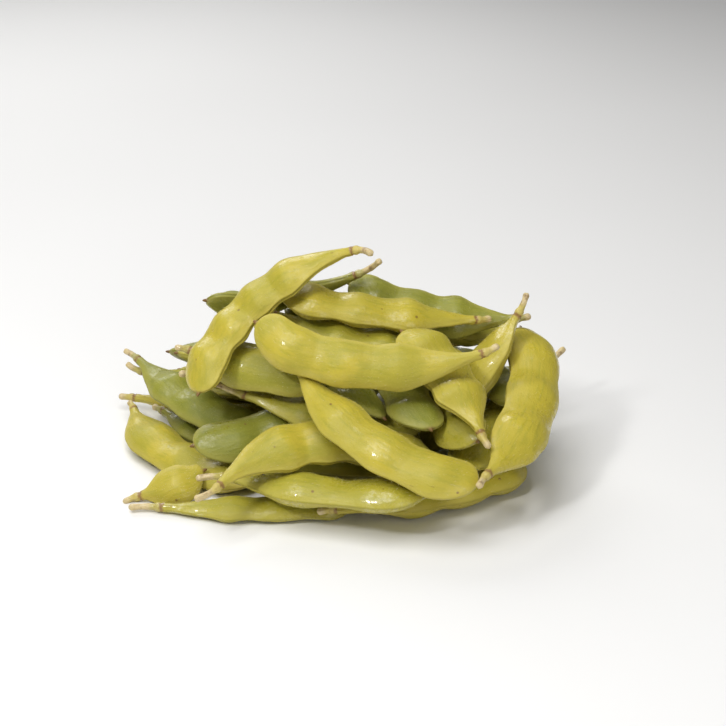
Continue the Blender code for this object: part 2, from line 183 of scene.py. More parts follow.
PODS = [
    # On the surface
    Pod("pod_floor_left", -34, 26, 5, 5, 55, 3, bend=25, tint="yellow"),
    Pod("pod_front_low_left", -18, -30, 5, -5, 54, 3, bend=22, stalk=7, size=0.7, firm=3),
    Pod("pod_front_low_right", 27, -22, 5, 28, 60, 3, bend=40, tint="yellow"),
    Pod("pod_front_wavy", -3, -33, 10, -20, 56, 2, bend=14, lean=28, pitch=8, stalk=6, hook=50, firm=3),
    Pod("pod_right_low", 42, 8, 5, 70, 54, 3, bend=25, tint="dark"),
    Pod("pod_left_short", -43, -20, 5, 20, 18, 1, bend=10, lean=50, tint="yellow", neck=0.4, size=0.85),
    Pod("pod_right_stalk", 39, 22, 6, 197, 54, 3, bend=-25, stalk=6, tint="dark", firm=3),
    Pod("pod_core_middle", -10, 6, 5, 160, 58, 3, bend=-30),
    Pod("pod_core_back", 8, 22, 5, 10, 58, 3, bend=25),
    Pod("pod_core_front", 8, -7, 5, 195, 56, 3, bend=20),
    Pod("pod_back_left", -20, 41, 5, 170, 56, 3, bend=-30),
    Pod("pod_back_right", 24, 43, 5, 2, 58, 3, bend=-28),
    # Leaning on those
    Pod("pod_left_crescent", -43, 2, 10, -47, 60, 3, bend=58, tint="yellow", neck=0.25, firm=4),
    Pod("pod_left_dark", -11, 3, 20, 211, 60, 3, bend=-12, lean=-15, pitch=-8, tint="dark", firm=3),
    Pod("pod_left_stub", -38, 16, 9, -50, 52, 3, bend=20, pitch=-8, stalk=5, tint="dark", firm=4),
    Pod("pod_left_shoulder", -30, 15, 5, -38, 48, 3, bend=20, tint="dark"),
    Pod("pod_left_thin", -30, 26, 7, -2, 56, 3, bend=10, stalk=5, hook=-50, firm=6),
    Pod("pod_right_inner", 38, -3, 8, 78, 54, 3, bend=20, firm=2),
    Pod("pod_right_crescent", 50, -11, 15, 78, 65, 3, bend=45, pitch=4, stalk=4, tint="yellow", neck=0.25,
        size=1.1, firm=6),
    Pod("pod_right_shoulder", 39, 17, 14, -70, 50, 3, bend=20, tint="dark", firm=2),
    Pod("pod_left_back_low", -20, 36, 20, 180, 58, 3, bend=25, tint="dark"),
    Pod("pod_back_slope", 12, 36, 15, 5, 58, 3, bend=-30, tint="dark"),
    Pod("pod_front_arch", 0, -20, 16, 22, 66, 4, bend=-85, lean=60, pitch=8, stalk=6, hook=-30,
        tint="yellow", neck=0.32, firm=4),
    Pod("pod_front_thin", 0, -3, 22, -12, 50, 3, bend=20, lean=20, stalk=8, hook=-20, firm=3),
    Pod("pod_left_back_high", -17, 22, 22, 182, 56, 3, bend=20),
    Pod("pod_left_core", -18, 9, 14, 172, 50, 3, bend=20),
    Pod("pod_right_round", 30, 0, 22, -85, 54, 3, bend=15, pitch=-8, firm=4),
    Pod("pod_middle_round", 20, 2, 24, -92, 54, 3, bend=15, tint="dark", firm=2),
    Pod("pod_back_round", 2, 28, 24, 168, 58, 3, bend=-25),
    # Above them
    Pod("pod_middle_point", -1, 5, 26, -46, 54, 3, bend=20, lean=-20, pitch=-18, tint="dark", blunt=15,
        firm=1),
    Pod("pod_front_diagonal", 9, -31, 20, -35, 63, 3, bend=52, lean=38, pitch=-27, stalk=7, hook=120,
        tint="yellow", firm=3),
    Pod("pod_core_low", 12, 5, 14, 140, 54, 3, bend=25),
    Pod("pod_core_high", -10, 8, 24, 15, 56, 3, bend=20),
    Pod("pod_back_high", 18, 21, 33, -5, 58, 3, bend=25),
    Pod("pod_left_middle", -18, 2, 33, -6, 42, 2, bend=22, lean=25, pitch=-5, blunt=14, firm=3),
    Pod("pod_right_point", 8, 4, 27, -22, 54, 3, bend=15, lean=20, pitch=-14, blunt=15, firm=4),
    Pod("pod_top_stalk", -14, 21, 38, 188, 44, 3, bend=45, lean=50, pitch=-12, stalk=8, hook=-45,
        tint="dark", size=0.85, firm=4),
    Pod("pod_right_hang", 31, -12, 30, 139, 39, 3, bend=25, lean=-30, pitch=32, tint="yellow", size=1.1,
        firm=5),
    Pod("pod_right_upright", 37, 3, 28, 217, 47, 2, bend=-15, lean=-35, pitch=-48, stalk=5, hook=40,
        tint="yellow", neck=0.22, size=1.15, firm=6),
    Pod("pod_top_back", 27, 16, 38, 170, 48, 3, bend=-25, pitch=18, tint="dark", firm=4),
    Pod("pod_top_middle", 10, 7, 46, 176, 56, 3, bend=-25, lean=-15, tint="yellow"),
    Pod("pod_top_arch", -20, 6, 46, 203, 62, 4, bend=78, lean=-55, pitch=-28, stalk=5, hook=-50,
        tint="yellow", firm=4),
    Pod("pod_top_front", 8, -14, 46, 180, 63, 3, bend=-48, lean=-42, pitch=10, tint="yellow", size=0.95,
        firm=3),
]

# The dark tint is partly painted shade: a greener hull made darker for pods that lie in shade.
TINTS = ("yellow", "green", "dark")


class Shape:
    """The form of one pod about its own middle, with its bend in the XY plane and its length along X."""

    SPINE_STEP = 0.25

    def __init__(self, pod, seed):
        draw = np.random.default_rng(seed)
        self.pod = pod
        self.seed = seed
        self.twist = math.radians(draw.uniform(-MOST_TWIST, MOST_TWIST))
        self.warp = draw.uniform(-MOST_WARP, MOST_WARP)
        self.beans = self.bean_centres(pod.beans)
        self.swells = draw.uniform(LEAST_SWELL, 1.0, pod.beans)
        self.start = -(CALYX_LENGTH + pod.stalk)
        self.trace_spine()

    @staticmethod
    def bean_centres(count):
        """Shares of the body's length at which the beans lie."""
        if count == 1:
            return np.array([0.6])
        return np.linspace(0.24 + 0.30 / count, 0.86 - 0.12 / count, count)

    def trace_spine(self):
        """Points and directions along the middle of the stalk and the body."""
        pod = self.pod
        self.u = np.arange(self.start, pod.length + self.SPINE_STEP, self.SPINE_STEP)
        bend = math.radians(pod.bend)
        turn = bend * (np.clip(self.u / pod.length, 0, 1) - 0.5)
        turn += math.radians(pod.hook) * np.clip(self.u / self.start, 0, 1)
        steps = np.stack([np.cos(turn), np.sin(turn)], 1) * self.SPINE_STEP
        line = np.cumsum(steps, 0)
        middle = np.searchsorted(self.u, pod.length / 2)
        line -= line[middle]
        share = np.clip(self.u / pod.length, 0, 1)
        rise = self.warp * np.sin(math.pi * share)
        self.line = np.column_stack([line, rise])
        self.turn = turn

    def swelling(self, u):
        """How far the beans swell the body at each distance u from the calyx, from 0 to 1."""
        share = np.clip(u / self.pod.length, 0, 1)
        spread = BEAN_SPREAD * (0.5 if self.pod.beans == 1 else self.beans[1] - self.beans[0])
        swell = np.zeros_like(share)
        for centre, height in zip(self.beans, self.swells):
            swell = np.maximum(swell, height * hump(share - centre, spread))
        return swell

    def half_sizes(self, u):
        """Half the width and half the thickness at each distance u from the calyx."""
        pod = self.pod
        swell = self.swelling(u)
        neck = smooth(u / pod.length / pod.neck)
        blunt = rounded((pod.length - u) / pod.blunt)
        flat_blunt = rounded((pod.length - u) / (FLAT_BLUNT * pod.blunt))
        full = pod.size * POD_WIDTH / 2 * (WAIST_WIDTH + (1 - WAIST_WIDTH) * swell)
        deep = pod.size * POD_THICKNESS / 2 * (WAIST_THICKNESS + (1 - WAIST_THICKNESS) * swell)
        width = (NECK_RADIUS + (full - NECK_RADIUS) * neck) * blunt
        thick = (NECK_RADIUS + (deep - NECK_RADIUS) * neck) * flat_blunt
        ring = hump(u + CALYX_LENGTH / 2, CALYX_LENGTH / 2)
        stem = STALK_RADIUS + (CALYX_RADIUS - STALK_RADIUS) * ring
        stem *= rounded((u - self.start) / STALK_RADIUS)
        on_stem = u < 0
        return np.where(on_stem, stem, width), np.where(on_stem, stem, thick)

    def axes(self, u):
        """The middle, and the directions to the left seam and out of the upper face, at each distance u."""
        centre = np.stack([np.interp(u, self.u, self.line[:, k]) for k in range(3)], 1)
        turn = np.interp(u, self.u, self.turn)
        share = np.clip(u / self.pod.length, 0, 1)
        roll = self.twist * (share - 0.5)
        side = np.stack([-np.sin(turn) * np.cos(roll), np.cos(turn) * np.cos(roll), np.sin(roll)], 1)
        face = np.stack([np.sin(turn) * np.sin(roll), -np.cos(turn) * np.sin(roll), np.cos(roll)], 1)
        shift = self.inner() * BEAK_SHIFT * smooth((share - BEAK_FROM) / (1 - BEAK_FROM))
        return centre + side * shift[:, None], side, face

    def inner(self):
        """1 where the inner seam is the left one, and -1 where it is the right one."""
        return 1 if self.pod.bend >= 0 else -1

    def points(self, u, angles):
        """Points of the skin, an array of len(u) by len(angles) by 3. Angle 0 is the left seam."""
        u = np.asarray(u, float)
        centre, side, face = self.axes(u)
        width, thick = self.half_sizes(u)
        across = np.cos(angles)[None, :, None] * (side * width[:, None])[:, None, :]
        lift = np.sign(np.sin(angles)) * np.abs(np.sin(angles)) ** SEAM_SHARPNESS
        through = lift[None, :, None] * (face * thick[:, None])[:, None, :]
        return centre[:, None, :] + across + through

    def beak(self):
        """The tip of the beak."""
        end = self.points([self.pod.length], np.array([0.0]))[0, 0]
        out = math.radians(self.pod.bend / 2)
        return end + BEAK_LENGTH * np.array([math.cos(out), math.sin(out), 0])


def smooth(t):
    t = np.clip(t, 0, 1)
    return t * t * (3 - 2 * t)


def rounded(t):
    """0 at t = 0, and 1 from t = 1 on, with a circle's quarter between."""
    t = np.clip(t, 0, 1)
    return np.sqrt(1 - (1 - t) ** 2)


def hump(off, reach):
    """1 at off = 0, fading on both sides."""
    return np.exp(-((off / reach) ** 2))


def turned(heading, pitch, lean):
    """Rotation matrix of a pod that points along heading, with its blunt end up by pitch."""
    h, p, r = (math.radians(a) for a in (heading, pitch, lean))
    about_z = np.array([[math.cos(h), -math.sin(h), 0], [math.sin(h), math.cos(h), 0], [0, 0, 1]])
    about_y = np.array([[math.cos(p), 0, -math.sin(p)], [0, 1, 0], [math.sin(p), 0, math.cos(p)]])
    about_x = np.array([[1, 0, 0], [0, math.cos(r), -math.sin(r)], [0, math.sin(r), math.cos(r)]])
    return about_z @ about_y @ about_x


def balls_of(shape):
    """Centres and radii of balls that together fill the pod out."""
    thin = np.arange(shape.start + STALK_RADIUS, shape.pod.neck / 2 * shape.pod.length, THIN_SPACING)
    body = np.arange(thin[-1] + BALL_SPACING, shape.pod.length - 1, BALL_SPACING)
    u = np.concatenate([thin, body, [shape.pod.length - LAST_BALL]])
    width, thick = shape.half_sizes(u)
    rim = shape.points(u, np.array([0, math.pi]))
    middle = rim.mean(1)
    side = (rim[:, 0] - rim[:, 1]) / (2 * width)[:, None]
    small = np.minimum(RIM_BALL_WIDTH * width, RIM_BALL_THICKNESS * thick)
    flat = width > FLAT_FROM * thick
    centres = [middle, shape.beak()[None]]
    radii = [np.minimum(thick, width), [BEAK_RADIUS]]
    for way in (-1, 1):
        centres.append((middle + way * side * (width - small)[:, None])[flat])
        radii.append(small[flat])
    return np.concatenate(centres), np.concatenate(radii)


def spun(matrices, turns):
    """Rotation matrices after a further turn each, given as a vector along its axis."""
    angle = np.linalg.norm(turns, axis=1)
    axis = turns / np.maximum(angle, 1e-12)[:, None]
    x, y, z = axis.T
    zero = np.zeros_like(x)
    cross = np.stack([zero, -z, y, z, zero, -x, -y, x, zero], 1).reshape(-1, 3, 3)
    sine = np.sin(angle)[:, None, None]
    cosine = np.cos(angle)[:, None, None]
    turn = np.eye(3) + sine * cross + (1 - cosine) * (cross @ cross)
    return turn @ matrices


class Heap:
    """All the pods, as rigid sets of balls that give way to each other."""

    def __init__(self, shapes):
        pods = [shape.pod for shape in shapes]
        parts = [balls_of(shape) for shape in shapes]
        self.owner = np.repeat(np.arange(len(pods)), [len(radii) for _, radii in parts])
        self.local = np.concatenate([centres for centres, _ in parts])
        self.radii = np.concatenate([radii for _, radii in parts])
        self.home = np.array([(pod.x, pod.y, DROP * pod.z) for pod in pods], float)
        self.place = self.home.copy()
        self.set_up = np.array([turned(pod.heading, pod.pitch, pod.lean) for pod in pods])
        self.turn = self.set_up.copy()
        self.stiffness = np.array([self.resistance(*part) for part in parts])
        self.firm = np.array([pod.firm for pod in pods])[:, None]
        self.pairs = None

    @staticmethod
    def resistance(centres, radii):
        """How hard a pod is to turn about its middle, as a matrix for a pod of weight 1."""
        weight = radii**3 / np.sum(radii**3)
        square = np.sum(centres**2, 1) + BALL_INERTIA * radii**2
        whole = np.sum(weight * square) * np.eye(3)
        return whole - np.einsum("i,ij,ik->jk", weight, centres, centres)

    def balls(self):
        return np.einsum("ijk,ik->ij", self.turn[self.owner], self.local) + self.place[self.owner]

    def near_pairs(self, balls, reach):
        """Pairs of balls of different pods that are closer than reach."""
        first, second = [], []
        count = len(self.place)
        rows = [np.flatnonzero(self.owner == number) for number in range(count)]
        low = np.array([(balls[row] - self.radii[row, None]).min(0) for row in rows]) - reach
        high = np.array([(balls[row] + self.radii[row, None]).max(0) for row in rows])
        for a in range(count):
            for b in range(a + 1, count):
                if np.any(low[a] > high[b]) or np.any(low[b] > high[a]):
                    continue
                gap = np.linalg.norm(balls[rows[a], None] - balls[None, rows[b]], axis=2)
                gap -= self.radii[rows[a], None] + self.radii[None, rows[b]]
                i, j = np.nonzero(gap < reach)
                first.append(rows[a][i])
                second.append(rows[b][j])
        return np.concatenate(first), np.concatenate(second)

    def step(self, number, fall, keep):
        """Let the pods sink by fall, then push them out of each other and out of the surface."""
        self.place[:, 2] -= fall
        balls = self.balls()
        if number % LOOK_AGAIN == 0:
            self.pairs = self.near_pairs(balls, NEAR)
        i, j = self.pairs
        apart = balls[j] - balls[i]
        distance = np.maximum(np.linalg.norm(apart, axis=1), 1e-6)
        depth = self.radii[i] + self.radii[j] + SKIN_GAP - distance
        hit = depth > 0
        i, j, depth = i[hit], j[hit], depth[hit]
        normal = apart[hit] / distance[hit, None]
        a, b = self.owner[i], self.owner[j]
        inverse = np.linalg.inv(self.turn @ self.stiffness @ self.turn.transpose(0, 2, 1))
        ease = np.exp(np.clip(self.place[:, 2] / LIGHTER, 0, 6))
        sides = []
        for body, ball in ((a, i), (b, j)):
            arm = np.cross(balls[ball] - self.place[body], normal)
            spin = np.einsum("ijk,ik->ij", inverse[body], arm)
            sides.append((spin, ease[body] * (1 + np.sum(arm * spin, 1))))
        push = depth / (sides[0][1] + sides[1][1])
        shift = np.zeros((len(self.place), 6))
        total = np.full(len(self.place), 1e-9)
        for body, sign, spin in ((a, -1, sides[0][0]), (b, 1, sides[1][0])):
            move = (sign * push * ease[body] * depth)[:, None] * np.hstack([normal, spin])
            np.add.at(shift, body, move)
            np.add.at(total, body, depth)
        low = self.radii - FLOOR_SINK - balls[:, 2]
        k = np.flatnonzero(low > 0)
        body = self.owner[k]
        up = np.tile((0.0, 0.0, 1.0), (len(k), 1))
        arm = np.cross(balls[k] - self.place[body], up)
        spin = np.einsum("ijk,ik->ij", inverse[body], arm)
        push = low[k] / (1 + np.sum(arm * spin, 1))
        np.add.at(shift, body, (push * low[k])[:, None] * np.hstack([up, spin]))
        np.add.at(total, body, low[k])
        shift *= (PRESS / total)[:, None]
        back = np.zeros_like(shift)
        back[:, :2] = KEEP_PLACE * self.firm * (self.home - self.place)[:, :2]
        back[:, 3:] = KEEP_TILT * self.firm * np.cross(self.turn, self.set_up, axis=1).sum(2)
        shift += keep * back
        self.place += shift[:, :3]
        self.turn = spun(self.turn, shift[:, 3:])


def lay_heap():
    """Each pod's shape, rotation matrix and place, with the heap's middle over the origin."""
    shapes = [Shape(pod, SHAPE_SEED + number) for number, pod in enumerate(PODS)]
    heap = Heap(shapes)
    for number in range(SINKING):
        heap.step(number, FALL, 1)
    for number in range(PARTING):
        left = max(0, 1 - 2 * number / PARTING)
        heap.step(number, FALL * left, left)
    laid = list(zip(shapes, heap.turn, heap.place))
    skin = np.concatenate([
        net_points(shape).reshape(-1, 3) @ turn.T + place for shape, turn, place in laid
    ])
    middle = (skin.min(0) + skin.max(0)) / 2
    middle[2] = 0
    return [(shape, turn, place - middle) for shape, turn, place in laid]


def net_points(shape):
    """Points of a solid pod's skin, ring by ring from the stalk's tip to the beak."""
    pod = shape.pod
    stalk = np.linspace(shape.start, -CALYX_LENGTH, STALK_RINGS)[:-1] if pod.stalk else [shape.start]
    cap = [shape.start + CAP_RING * STALK_RADIUS]
    calyx = [-share * CALYX_LENGTH for share in CALYX_RINGS]
    blunt = [pod.length - before for before in BLUNT_RINGS]
    body = np.linspace(FIRST_BODY_RING * pod.length, blunt[0], BODY_RINGS)
    rings = np.unique(np.concatenate([stalk, cap, calyx, body, blunt[1:]]))
    skin = shape.points(rings, np.arange(SIDES) * 2 * math.pi / SIDES)
    skin[-1] = shape.beak()
    return skin


def set_against_frame(shape, turn, place):
    """Stops where a pod isn't laid as its solid in the frame is."""
    skin = net_points(shape).reshape(-1, 3) @ turn.T + place
    skin[:, 2] = np.maximum(skin[:, 2], 0)
    low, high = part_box(shape.pod.name)
    laid, solid = np.array([skin.min(0), skin.max(0)]) * MM, np.array([low, high])
    off = np.abs(laid - solid).max()
    if off > MOST_OFF * MM:
        raise RuntimeError(f"{shape.pod.name} lies {off / MM:.2f} mm off its solid")


class Skin:
    """The finely divided skin of one pod, and where each of its points lies on the pod."""

    def __init__(self, shape, turn, place, sizes):
        self.shape = shape
        self.sizes = sizes
        self.draw = np.random.default_rng(SKIN_SEED + shape.seed)
        quarter = np.concatenate([SEAM_ANGLES[:-1], np.linspace(SEAM_ANGLES[-1], 90, SIDE_ANGLES)])
        half = np.concatenate([quarter[:-1], 180 - quarter[::-1]])
        self.angles = np.radians(np.concatenate([half[:-1], 180 + half[:-1]]))
        self.rings = self.ring_places()
        self.grid = self.plain_points()
        self.to_inner, self.to_outer = self.seam_distances()
        out = self.outward(self.grid)
        self.grid = self.grid + out * self.relief()[..., None]
        self.grid = self.grid @ turn.T + place
        self.grid[..., 2] = np.maximum(self.grid[..., 2], 0)
        self.out = out @ turn.T

    def ring_places(self):
        """Distances from the calyx of the rings, from the stalk's tip to the beak's."""
        shape = self.shape
        cap = shape.start + STALK_RADIUS * (1 - np.cos(np.linspace(0, math.pi / 2, STALK_CAP_STEPS)))
        stalk = np.arange(cap[-1] + STALK_STEP, 2, STALK_STEP)
        blunt_start = shape.pod.length - shape.pod.blunt
        body = np.linspace(stalk[-1], blunt_start, 1 + round((blunt_start - stalk[-1]) / BODY_STEP))[1:]
        swing = np.linspace(0, math.pi / 2, BLUNT_STEPS + 1)[1:]
        blunt = blunt_start + shape.pod.blunt * np.sin(swing)
        beak = shape.pod.length + BEAK_LENGTH * np.linspace(0, 1, BEAK_STEPS + 1)[1:]
        return np.concatenate([cap, stalk, body, blunt, beak])

    def plain_points(self):
        """The pod's own form, with its beak drawn out to a blunt point."""
        shape, u = self.shape, self.rings
        centre, side, face = shape.axes(u)
        width, thick = shape.half_sizes(u)
        past = np.maximum(u - shape.pod.length, 0)[:, None]
        out = math.radians(shape.pod.bend / 2)
        centre = centre + past * np.array([math.cos(out), math.sin(out), 0])
        from_tip = (shape.pod.length + BEAK_LENGTH - u) / (BEAK_TAPER * BEAK_LENGTH)
        beak = BEAK_RADIUS * BEAK_ROOT * rounded(from_tip) * (u > 0)
        width = (width**3 + beak**3) ** (1 / 3)
        thick = (thick**3 + (BEAK_FLATNESS * beak) ** 3) ** (1 / 3)
        flare = hump(u - shape.start - STALK_RADIUS, FLARE_REACH) * (shape.pod.stalk > 0)
        uneven = STALK_KNOBS * np.sin(1.7 * u + shape.seed) * (u < -CALYX_LENGTH)
        knobs = 1 + self.sizes.stalk_flare * flare + uneven
        across = np.cos(self.angles)[None, :, None] * (side * (width * knobs)[:, None])[:, None, :]
        sharp = 1 + (SEAM_SHARPNESS - 1) * smooth((u + CALYX_LENGTH / 2) / CALYX_LENGTH)
        sine = np.sin(self.angles)[None, :]
        lift = np.sign(sine) * np.abs(sine) ** sharp[:, None]
        through = lift[..., None] * (face * (thick * knobs)[:, None])[:, None, :]
        self.across = np.cos(self.angles)[None, :] * (width * knobs)[:, None]
        self.through = lift * (thick * knobs)[:, None]
        return centre[:, None, :] + across + through

    def seam_distances(self):
        """Distance of each point, round its ring, from the inner and from the outer seam."""
        steps = np.linalg.norm(np.roll(self.grid, -1, 1) - self.grid, axis=2)
        along = np.concatenate([np.zeros((len(steps), 1)), np.cumsum(steps, 1)], 1)
        whole = along[:, -1:]
        along = along[:, :-1]
        half = along[:, len(self.angles) // 2][:, None]
        left = np.minimum(along, whole - along)
        right = np.abs(along - half)
        return (left, right) if self.shape.inner() == 1 else (right, left)

    def outward(self, grid):
        """Unit vectors straight out of the skin."""
        lengthwise = np.gradient(grid, axis=0)
        round_it = np.roll(grid, -1, 1) - np.roll(grid, 1, 1)
        out = np.cross(round_it, lengthwise)
        size = np.linalg.norm(out, axis=2, keepdims=True)
        out = out / np.maximum(size, 1e-9)
        self.area = size[..., 0]
        away = grid - grid.mean(1, keepdims=True)
        wrong = np.sum(out * away, 2).mean() < 0
        return -out if wrong else out

    def relief(self):
        """How far each point stands out of, or sinks into, the pod's plain form."""
        sizes, shape = self.sizes, self.shape
        u = self.rings[:, None]
        body = smooth(u / 5) * smooth((shape.pod.length - u) / 3)
        inner = hump(self.to_inner - INNER_RIDGE, INNER_RIDGE_REACH)
        inner -= INNER_CREASE * hump(self.to_inner, INNER_CREASE_REACH)
        outer = hump(self.to_outer, OUTER_RIDGE_REACH)
        seams = body * sizes.seam_height * (inner + OUTER_RIDGE * outer)
        dents = body * self.waves(sizes.unevenness, count=8, most_per_mm=0.9, most_round=3)
        grain = body * self.waves(sizes.fine_unevenness, count=16, most_per_mm=3.2, most_round=12)
        near_ends = hump(u - 3, 6) + hump(shape.pod.length - u, 4)
        folds = near_ends * body * sizes.neck_folds * np.sin(NECK_FOLDS * self.angles + 0.25 * u)
        tips = (0.5 + 0.5 * np.cos(SEPALS * self.angles + shape.seed)) ** 1.5
        lobes = SEPAL_GAP + SEPAL_LENGTH * tips
        sepals = sizes.calyx_height * smooth((lobes - u) / 0.7) * smooth((u + CALYX_LENGTH) / 0.8)
        bark = BARK_HEIGHT * np.sin(4 * self.angles + 0.7 * u) * smooth((-u - CALYX_LENGTH) / 1.0)
        return seams + dents + grain + folds + sepals + bark

    def waves(self, height, count, most_per_mm, most_round):
        """A sum of waves over the skin, the same at each run."""
        u = self.rings[:, None]
        total = 0
        for _ in range(count):
            lengthwise = self.draw.uniform(-most_per_mm, most_per_mm)
            round_it = self.draw.integers(0, most_round + 1)
            phase = self.draw.uniform(0, 2 * math.pi)
            total = total + np.sin(lengthwise * u + round_it * self.angles + phase)
        return height * total / math.sqrt(count)

    def marks(self):
        """What the materials read at each point: names and values."""
        shape = self.shape
        u = np.broadcast_to(self.rings[:, None], self.across.shape)
        return {
            "pod_along": u,
            "pod_from_beak": shape.pod.length + BEAK_LENGTH - u,
            "pod_from_break": u - shape.start,
            "pod_from_inner_seam": self.to_inner,
            "pod_from_outer_seam": self.to_outer,
            "pod_swell": shape.swelling(u) * smooth(u / (shape.pod.neck * shape.pod.length)),
            "pod_tone": np.full(u.shape, self.draw.uniform()),
        }

    def straight(self):
        """Each point's place on the pod as if it were unbent, for patterns that follow the skin."""
        u = np.broadcast_to(self.rings[:, None], self.across.shape)
        return np.stack([u + PATTERN_STEP * self.shape.seed, self.across, self.through], 2)

    def mesh(self, name):
        """A sphere's net drawn out into the skin."""
        count, last = len(self.angles), len(self.rings) - 1
        bm = bmesh.new()
        bmesh.ops.create_uvsphere(bm, u_segments=count, v_segments=last, radius=1)
        mesh = bpy.data.meshes.new(name)
        bm.to_mesh(mesh)
        bm.free()
        ball = np.zeros(3 * len(mesh.vertices), np.float32)
        mesh.vertices.foreach_get("co", ball)
        ball = ball.reshape(-1, 3)
        ring = np.rint((1 - np.arccos(np.clip(ball[:, 2], -1, 1)) / math.pi) * last).astype(int)
        around = np.arctan2(ball[:, 1], ball[:, 0])
        pole = (ring == 0) | (ring == last)
        first = around[~pole][0]
        side = np.rint((around - first) / (2 * math.pi / count)).astype(int) % count
        side[pole] = 0
        mesh.vertices.foreach_set("co", (self.grid[ring, side] * MM).ravel())
        for mark, values in self.marks().items():
            layer = mesh.attributes.new(mark, "FLOAT", "POINT")
            layer.data.foreach_set("value", values[ring, side])
        layer = mesh.attributes.new("pod_straight", "FLOAT_VECTOR", "POINT")
        layer.data.foreach_set("vector", self.straight()[ring, side].ravel())
        turn_outwards(mesh)
        mesh.shade_smooth()
        return mesh


def turn_outwards(mesh):
    """Turns a closed mesh's faces outwards."""
    bm = bmesh.new()
    bm.from_mesh(mesh)
    bmesh.ops.recalc_face_normals(bm, faces=bm.faces)
    bm.to_mesh(mesh)
    bm.free()


def place_piece(name, mesh, material):
    """Adds a finished mesh to the scene as a piece that goes with the heap."""
    mesh.materials.append(material)
    piece = bpy.data.objects.new(name, mesh)
    bpy.context.scene.collection.objects.link(piece)
    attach(piece, "root")
    return piece


class NodeDesk:
    """Adds nodes to a material's or a group's tree and joins them."""

    def __init__(self, tree):
        self.tree = tree

    def add(self, kind, inputs=(), **settings):
        node = self.tree.nodes.new(kind)
        node.location = (220 * (len(self.tree.nodes) % 12), -260 * (len(self.tree.nodes) // 12))
        for setting, value in settings.items():
            setattr(node, setting, value)
        for socket, value in dict(inputs).items():
            self.feed(node.inputs[socket], value)
        return node

    def feed(self, socket, value):
        if isinstance(value, bpy.types.NodeSocket):
            self.tree.links.new(value, socket)
        else:
            socket.default_value = value

    def math(self, operation, first, second=0.0):
        return self.add("ShaderNodeMath", {0: first, 1: second}, operation=operation).outputs[0]

    def mix(self, share, first, second, way="MIX"):
        inputs = {0: share, 6: first, 7: second}
        return self.add("ShaderNodeMix", inputs, data_type="RGBA", blend_type=way).outputs[2]

    def spread(self, value, low, high, start=0.0, end=1.0):
        """start where value is at low, end where it is at high, and smoothly between."""
        inputs = {"Value": value, "From Min": low, "From Max": high, "To Min": start, "To Max": end}
        return self.add("ShaderNodeMapRange", inputs, interpolation_type="SMOOTHSTEP").outputs[0]

    def noise(self, place, scale, detail=2.0, stretch=(1, 1, 1)):
        if stretch != (1, 1, 1):
            place = self.add("ShaderNodeMapping", {"Vector": place, "Scale": stretch}).outputs[0]
        inputs = {"Vector": place, "Scale": scale, "Detail": detail}
        return self.add("ShaderNodeTexNoise", inputs).outputs[0]

    def group(self, tree, inputs):
        return self.add("ShaderNodeGroup", inputs, node_tree=tree)

    def mark(self, name):
        return self.add("ShaderNodeAttribute", attribute_name=name).outputs["Fac"]

    def place_on_pod(self):
        return self.add("ShaderNodeAttribute", attribute_name="pod_straight").outputs["Vector"]


def node_group(name, inputs, outputs, fill):
    """A node group with these sockets, each a name, a kind and a default, filled by fill."""
    found = bpy.data.node_groups.get(name)
    if found:
        return found
    tree = bpy.data.node_groups.new(name, "ShaderNodeTree")
    for label, kind, default in inputs:
        socket = tree.interface.new_socket(label, in_out="INPUT", socket_type="NodeSocket" + kind)
        socket.default_value = default
    for label, kind in outputs:
        tree.interface.new_socket(label, in_out="OUTPUT", socket_type="NodeSocket" + kind)
    desk = NodeDesk(tree)
    given = tree.nodes.new("NodeGroupInput").outputs
    made = tree.nodes.new("NodeGroupOutput").inputs
    for label, value in fill(desk, given).items():
        desk.feed(made[label], value)
    return tree


def fill_hull_colour(desk, given):
    """Mottled hull: paler over the beans, greener at waists and seams, with faint streaks along the pod; a
    band towards each seam is paled as painted sheen of the fuzz.
    """
    at = desk.place_on_pod()
    broad = desk.noise(at, scale=0.10, detail=3)
    streaks = desk.noise(at, scale=0.9, detail=3, stretch=(0.12, 1, 1))
    fine = desk.noise(at, scale=2.6, detail=2)
    over_bean = desk.spread(desk.mark("pod_swell"), 0.25, 0.95)
    pale = desk.math("MULTIPLY", over_bean, desk.spread(broad, 0.30, 0.62))
    colour = desk.mix(desk.math("MULTIPLY", pale, 0.75), given["Hull"], given["Over Bean"])
    greener = desk.spread(desk.mark("pod_tone"), 0.0, 1.0, start=0.55, end=0.0)
    greener = desk.math("MULTIPLY", greener, desk.spread(broad, 0.65, 0.40))
    colour = desk.mix(greener, colour, given["Deep"])
    colour = desk.mix(desk.spread(streaks, 0.46, 0.70, start=0.0, end=0.42), colour, given["Deep"])
    colour = desk.mix(desk.spread(fine, 0.50, 0.80, start=0.0, end=0.42), colour, given["Bloom"])
    from_seam = desk.math("MINIMUM", desk.mark("pod_from_inner_seam"), desk.mark("pod_from_outer_seam"))
    # Painted sheen: the hull pales towards both seams, where the fuzz would catch the light at the pod's
    # rims.
    shoulder = desk.spread(from_seam, 3.2, 0.6, start=0.0, end=0.60)
    colour = desk.mix(shoulder, colour, given["Bloom"])
    crease = desk.spread(desk.mark("pod_from_inner_seam"), 0.45, 0.05, start=0.0, end=0.65)
    colour = desk.mix(crease, colour, given["Seam"])
    ridge = desk.spread(desk.mark("pod_from_outer_seam"), 0.50, 0.10, start=0.0, end=0.40)
    return {"Colour": desk.mix(ridge, colour, given["Seam"])}


